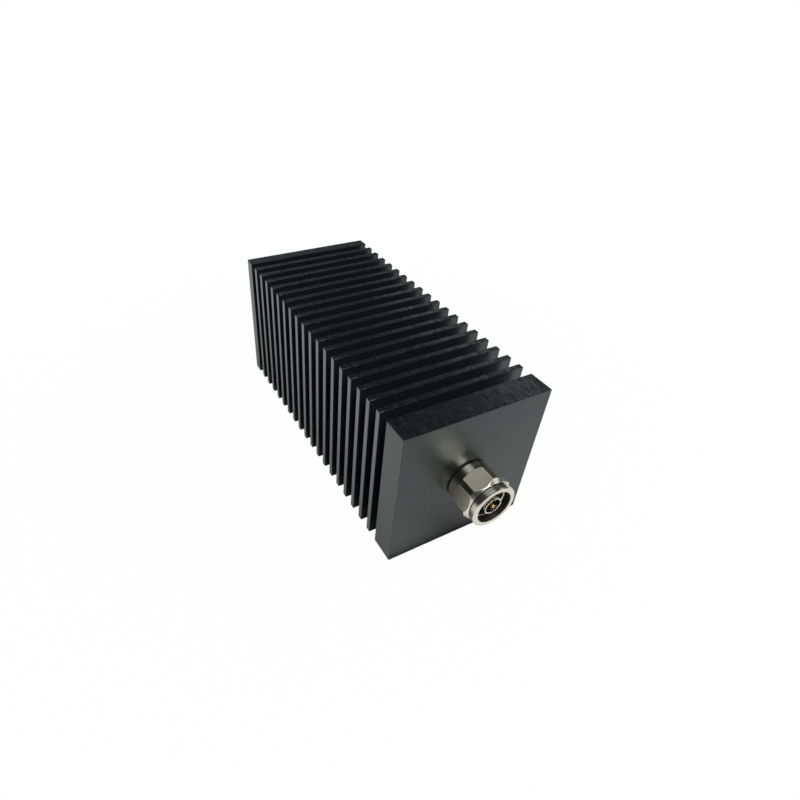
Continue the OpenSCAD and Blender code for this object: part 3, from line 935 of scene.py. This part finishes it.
class BuildCouplingNut(bpy.types.Operator):
    """Build the coupling nut with its milled flats and its inner thread."""

    bl_idname = "dummy_load.coupling_nut"
    bl_label = "Coupling nut"

    def execute(self, context):
        settings = context.scene.dummy_load
        sizes = settings.nut
        # A pit on the left flat, drawn as a dark spot of painted shade
        pit = ((-0.010468, -0.081685, 0.034872), 0.42 * MM)
        # Dark nickel of painted shade for the nut's inside, its relief and its thread
        dull_painted_shade = plain_finish("dull nickel", settings.colours.bore, 1.0, (0.42, 0.55), 0.2 * MM, 0.003 * MM)
        finishes = {
            POLISHED: nickel_finish("polished nickel", settings.colours.nickel, (0.17, 0.23)),
            SATIN: satin_nickel_finish("satin nickel", settings.colours, [pit]),
            DULL_PAINTED_SHADE: dull_painted_shade,
            TURNED: nickel_finish("turned nickel", settings.colours.nickel, (0.21, 0.28)),
        }
        nut = new_object("coupling_nut_body", nut_mesh(sizes))
        for order in sorted(finishes):
            nut.data.materials.append(finishes[order])
        mark_faces(nut.data, sizes)
        even_shading(nut, FINE_SHARP)
        settle(nut, "nut", "nickel_plate", "coupling_nut")

        # The thread's ridge starts behind its lead-in ring, and its foot is sunk a little into the bore
        thread = new_object("coupling_thread", bpy.data.meshes.new("thread"))
        lead_in = sizes.lead_reach + sizes.lead_width
        clear_end = 0.5 * sizes.pitch
        span = sizes.thread_length - lead_in - clear_end
        sunk = 0.02 * MM
        run_tree(
            thread, thread_tree(),
            {
                "Root Radius": sizes.thread_radius + sunk, "Depth": sizes.thread_depth,
                "Root Width": 0.85 * sizes.pitch, "Crest Width": 0.15 * sizes.pitch,
                "Turns": span / sizes.pitch, "Length": span,
                "Start": (0.0, nut_low.y + lead_in, AXIS_Z), "Material": dull_painted_shade,
            },
        )
        even_shading(thread, FINE_SHARP)
        settle(thread, "nut", "nickel_plate")
        return {"FINISHED"}


# Plug body and inner conductor


class BuildPlug(bpy.types.Operator):
    """Build the plug's body with its slotted sleeve, and the inner conductor."""

    bl_idname = "dummy_load.plug"
    bl_label = "Plug"

    def execute(self, context):
        settings = context.scene.dummy_load
        sizes = settings.plug
        plated = nickel_finish("plug plating", settings.colours.nickel, (0.12, 0.2))
        seat_end = body_high.y - FRONT_Y
        sleeve_tip = body_low.y - FRONT_Y
        bead_front = bead_low.y - FRONT_Y
        bead_rear = bead_high.y - FRONT_Y
        groove_front = -sizes.groove_reach - sizes.groove_width / 2
        groove_rear = -sizes.groove_reach + sizes.groove_width / 2
        outline = soften(
            [
                (seat_end, sizes.bead_radius), (seat_end, sizes.seat_radius), (0, sizes.seat_radius),
                (0, sizes.neck_radius), (groove_rear, sizes.neck_radius),
                (groove_rear, sizes.groove_radius),
                (groove_front, sizes.groove_radius), (groove_front, sizes.neck_radius),
                (-sizes.neck_length, sizes.neck_radius), (-sizes.neck_length, sizes.sleeve_radius),
                (sleeve_tip, sizes.sleeve_radius), (sleeve_tip, sizes.sleeve_bore),
                (bead_front, sizes.sleeve_bore), (bead_front, sizes.bead_radius),
                (seat_end, sizes.bead_radius),
            ],
            sizes.soft_edge,
        )
        bm = bmesh.new()
        turned(bm, outline)
        body = new_object("plug_body", closed_mesh(bm, "plug_body"))

        # Slots that let the sleeve spring
        bm = bmesh.new()
        for i in range(sizes.slot_count):
            turn = sizes.slot_turn + 2 * math.pi * i / sizes.slot_count
            middle = on_axis(sleeve_tip, sizes.sleeve_radius, turn)
            size = Matrix.Diagonal((sizes.sleeve_radius, 2 * sizes.slot_length, sizes.slot_width, 1))
            blade = Matrix.Translation(middle) @ Matrix.Rotation(-turn, 4, "Y") @ size
            bmesh.ops.create_cube(bm, size=1, matrix=blade)
        cut_away(body, new_object("slots", closed_mesh(bm, "slots")))
        body.data.materials.clear()
        body.data.materials.append(plated)
        even_shading(body)
        settle(body, "load", "nickel_plate", "connector_body")

        # Gold plated inner conductor with a round nose
        gold = plain_finish("gold plating", settings.colours.gold, 1.0, (0.26, 0.34), 0.15 * MM, 0.001 * MM)
        rear = pin_high.y - FRONT_Y
        tip = pin_low.y - FRONT_Y
        shoulder = tip + sizes.tip_length
        groove = sizes.conductor_radius - sizes.bead_groove
        socket_end = rear - sizes.socket_depth
        bends = [math.pi / 2 * i / NOSE_STEPS for i in range(NOSE_STEPS + 1)]
        nose = [
            (tip + sizes.tip_radius * (1 - math.cos(bend)), sizes.tip_radius * math.sin(bend))
            for bend in bends
        ]
        shank = soften(
            [
                nose[-1], (shoulder, sizes.tip_radius), (shoulder, sizes.conductor_radius),
                (bead_front, sizes.conductor_radius), (bead_front, groove), (bead_rear, groove),
                (bead_rear, sizes.conductor_radius),
                (rear, sizes.conductor_radius), (rear, sizes.socket_radius),
                (socket_end, sizes.socket_radius), (socket_end, 0),
            ],
            2 * sizes.soft_edge,
        )
        bm = bmesh.new()
        turned(bm, nose[:-1] + shank, CONDUCTOR_STEPS)
        conductor = new_object("inner_conductor", closed_mesh(bm, "inner_conductor"))
        conductor.data.materials.append(gold)
        even_shading(conductor)
        settle(conductor, "load", "gold_plate", "center_pin")
        return {"FINISHED"}


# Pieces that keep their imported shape


class DressPackedPieces(bpy.types.Operator):
    """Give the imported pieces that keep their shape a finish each."""

    bl_idname = "dummy_load.packed_pieces"
    bl_label = "Packed pieces"

    def execute(self, context):
        settings = context.scene.dummy_load
        made = {"black_anodise": anodised_finish("cap anodise", settings.colours)}

        # Each slot's metallic share, least and most roughness, and the grain's size and depth
        finishes = {
            "spring_steel": (1.0, (0.25, 0.35), 0.2 * MM, 0.002 * MM),
            "seal_rubber": (0.0, (0.6, 0.75), 0.3 * MM, 0.01 * MM),
            "white_insulator": (0.0, (0.4, 0.5), 0.4 * MM, 0.004 * MM),
            "bush_brass": (1.0, (0.25, 0.35), 0.2 * MM, 0.002 * MM),
            "black_screw": (0.6, (0.3, 0.42), 0.15 * MM, 0.003 * MM),
            "plated_copper": (1.0, (0.28, 0.38), 0.2 * MM, 0.002 * MM),
            "ceramic": (0.0, (0.5, 0.65), 0.15 * MM, 0.006 * MM),
            "zinc_screw": (1.0, (0.28, 0.4), 0.15 * MM, 0.003 * MM),
            "gold_plate": (1.0, (0.15, 0.25), 0.15 * MM, 0.001 * MM),
        }
        for slot, (metallic, roughness, grain, depth) in finishes.items():
            base = RECORD_COLOURS[slot]
            made[slot] = plain_finish(slot.replace("_", " "), base, metallic, roughness, grain, depth)
        for part in frame["record"]["subparts"]:
            node = frame["nodes"][part["node"]]
            if not node.hide_render:
                node.data.materials.clear()
                node.data.materials.append(made[part["material_slot"]])
        return {"FINISHED"}


# Stage


def seen_by(tree, *shares):
    """Factor for the kinds of rays named, each with its own share."""
    path = add(tree, "ShaderNodeLightPath").outputs
    found = 0.0
    for label, share in shares:
        found = calc(tree, "MAXIMUM", found, calc(tree, "MULTIPLY", path[label], share))
    return found


def floor_material(stage):
    """Pale floor that shows as white, with a soft shadow left in it near the bar."""
    material = bpy.data.materials.new("pale floor")
    material.use_nodes = True
    tree = material.node_tree
    tree.nodes.clear()
    spot = add(tree, "ShaderNodeTexCoord").outputs["Object"]
    away = gap_to(tree, spot, (0, 0, 0))
    seen = ranged(tree, away, BAR_LENGTH / 2, stage.clear_reach, stage.floor_seen, 1.0)

    # Gloss shows it darker beside the bar's long sides, under the bar and under the plug
    spot_axes = axes(tree, spot)
    beside = calc(tree, "ABSOLUTE", spot_axes["X"])
    sides = ranged(tree, beside, BAR_HALF, BAR_HALF + stage.side_reach, stage.side_shade, 1.0)
    under = ranged(tree, beside, BAR_HALF - stage.under_edge, BAR_HALF, stage.under_shade, 1.0)
    in_front = ranged(tree, spot_axes["Y"], FRONT_Y, FRONT_Y - stage.front_edge, 0.0, 1.0)
    clear = calc(tree, "MAXIMUM", calc(tree, "MULTIPLY", sides, under), in_front)
    foot = (0, (nut_low.y + 2 * nut_high.y) / 3, bar_low.z)
    plug = ranged(tree, gap_to(tree, spot, foot), 0.0, stage.plug_reach, stage.plug_shade, 1.0)
    camera = add(tree, "ShaderNodeLightPath").outputs["Is Camera Ray"]
    strength = calc(tree, "MAXIMUM", calc(tree, "MULTIPLY", clear, plug), camera)

    pale = add(tree, "ShaderNodeBsdfDiffuse", {"Color": (*stage.floor, 1)})
    white = add(tree, "ShaderNodeEmission", {"Strength": strength})
    share = seen_by(
        tree, ("Is Camera Ray", seen), ("Is Transmission Ray", seen),
        ("Is Glossy Ray", stage.floor_mirrored),
    )
    mix = add(tree, "ShaderNodeMixShader", {0: share, 1: pale.outputs[0], 2: white.outputs[0]})
    add(tree, "ShaderNodeOutputMaterial", {"Surface": mix.outputs[0]})
    return material


def studio_world(stage):
    """World that is white to the camera and a dim studio to everything else, lighter at the back."""
    world = bpy.data.worlds.new("studio")
    world.use_nodes = True
    tree = world.node_tree
    tree.nodes.clear()
    heading = axes(tree, add(tree, "ShaderNodeTexCoord").outputs["Generated"])["Y"]
    level = ranged(tree, heading, stage.back_start, stage.back_full, stage.surround, stage.back)
    dim = add(tree, "ShaderNodeBackground", {"Color": (*stage.studio, 1), "Strength": level})
    white = add(tree, "ShaderNodeBackground", {"Color": (1, 1, 1, 1), "Strength": 1.0})
    share = seen_by(tree, ("Is Camera Ray", 1.0), ("Is Transmission Ray", 1.0))
    mix = add(tree, "ShaderNodeMixShader", {0: share, 1: dim.outputs[0], 2: white.outputs[0]})
    add(tree, "ShaderNodeOutputWorld", {"Surface": mix.outputs[0]})
    return world


def soft_lamp(name, spot, aim, sides, level):
    """Rectangular lamp that looks from one place at another, as bright as its level."""
    light = bpy.data.lights.new(name, "AREA")
    light.shape = "RECTANGLE"
    light.size, light.size_y = sides
    light.energy = level * math.pi * sides[0] * sides[1]
    facing = (Vector(aim) - Vector(spot)).to_track_quat("-Z", "Y").to_matrix().to_4x4()
    new_object(name, light).matrix_world = Matrix.Translation(spot) @ facing


class BuildStage(bpy.types.Operator):
    """Build the floor, the soft light and the camera."""

    bl_idname = "dummy_load.stage"
    bl_label = "Stage"

    def execute(self, context):
        stage = context.scene.dummy_load.stage
        scene = context.scene
        scene.world = studio_world(stage)
        scene.view_settings.view_transform = "Standard"

        # Floor just under the bar
        bm = bmesh.new()
        bmesh.ops.create_grid(bm, x_segments=1, y_segments=1, size=FLOOR_HALF)
        bmesh.ops.translate(bm, verts=bm.verts, vec=(0, 0, bar_low.z - FLOOR_GAP))
        mesh = as_mesh(bm, "floor")
        mesh.materials.append(floor_material(stage))
        new_object("floor", mesh)

        # The softboxes and the panel look at the plug and the strip straight down
        nose = (0, FRONT_Y, AXIS_Z)
        under = (stage.strip_place[0], stage.strip_place[1], 0)
        soft_lamp("key softbox", stage.key_place, nose, stage.key_size, stage.key_level)
        soft_lamp("side softbox", stage.side_place, nose, stage.side_size, stage.side_level)
        soft_lamp("overhead panel", stage.panel_place, nose, stage.panel_size, stage.panel_level)
        soft_lamp("side strip", stage.strip_place, under, stage.strip_size, stage.strip_level)

        # Camera at the photograph's viewing angle
        view = Vector(
            (
                math.sin(stage.azimuth) * math.cos(stage.elevation),
                math.cos(stage.azimuth) * math.cos(stage.elevation),
                math.sin(stage.elevation),
            )
        )
        level = Vector((math.cos(stage.azimuth), -math.sin(stage.azimuth), 0))
        right = level * math.cos(stage.roll) + level.cross(view) * math.sin(stage.roll)
        facing = Matrix((right, right.cross(view), -view)).transposed().to_4x4()
        lens = bpy.data.cameras.new("camera")
        lens.sensor_width = PICTURE_WIDTH
        lens.lens = stage.lens
        lens.shift_x = stage.shift_x
        lens.shift_y = stage.shift_y
        lens.clip_start = 0.01
        camera = new_object("camera", lens)
        camera.matrix_world = Matrix.Translation(stage.camera_place) @ facing
        scene.camera = camera
        return {"FINISHED"}


class DummyLoadPanel(bpy.types.Panel):
    """Sizes, colours and build steps of the dummy load."""

    bl_idname = "VIEW3D_PT_dummy_load"
    bl_label = "Dummy load"
    bl_space_type = "VIEW_3D"
    bl_region_type = "UI"
    bl_category = "Dummy load"

    def draw(self, context):
        settings = context.scene.dummy_load
        for operator in OPERATORS:
            self.layout.operator(operator.bl_idname)
        for label in ("bar", "nut", "plug", "colours", "stage"):
            group = getattr(settings, label)
            box = self.layout.box()
            box.label(text=label.capitalize())
            for key in group.__annotations__:
                box.prop(group, key)


GROUPS = (BarSizes, NutSizes, PlugSizes, FinishColours, StageSettings, DummyLoadSettings)
OPERATORS = (BuildFinnedBar, BuildCouplingNut, BuildPlug, DressPackedPieces, BuildStage)


def register():
    """Register the classes and hang the settings on the scene."""
    for cls in (*GROUPS, *OPERATORS, DummyLoadPanel):
        bpy.utils.register_class(cls)
    bpy.types.Scene.dummy_load = PointerProperty(type=DummyLoadSettings)


def unregister():
    """Take everything off again."""
    del bpy.types.Scene.dummy_load
    for cls in reversed((*GROUPS, *OPERATORS, DummyLoadPanel)):
        bpy.utils.unregister_class(cls)


def main():
    """Build the dummy load and its stage."""
    register()
    bpy.ops.dummy_load.finned_bar()
    bpy.ops.dummy_load.coupling_nut()
    bpy.ops.dummy_load.plug()
    bpy.ops.dummy_load.packed_pieces()
    bpy.ops.dummy_load.stage()
    bpy.context.view_layer.update()


if __name__ == "__main__":
    main()
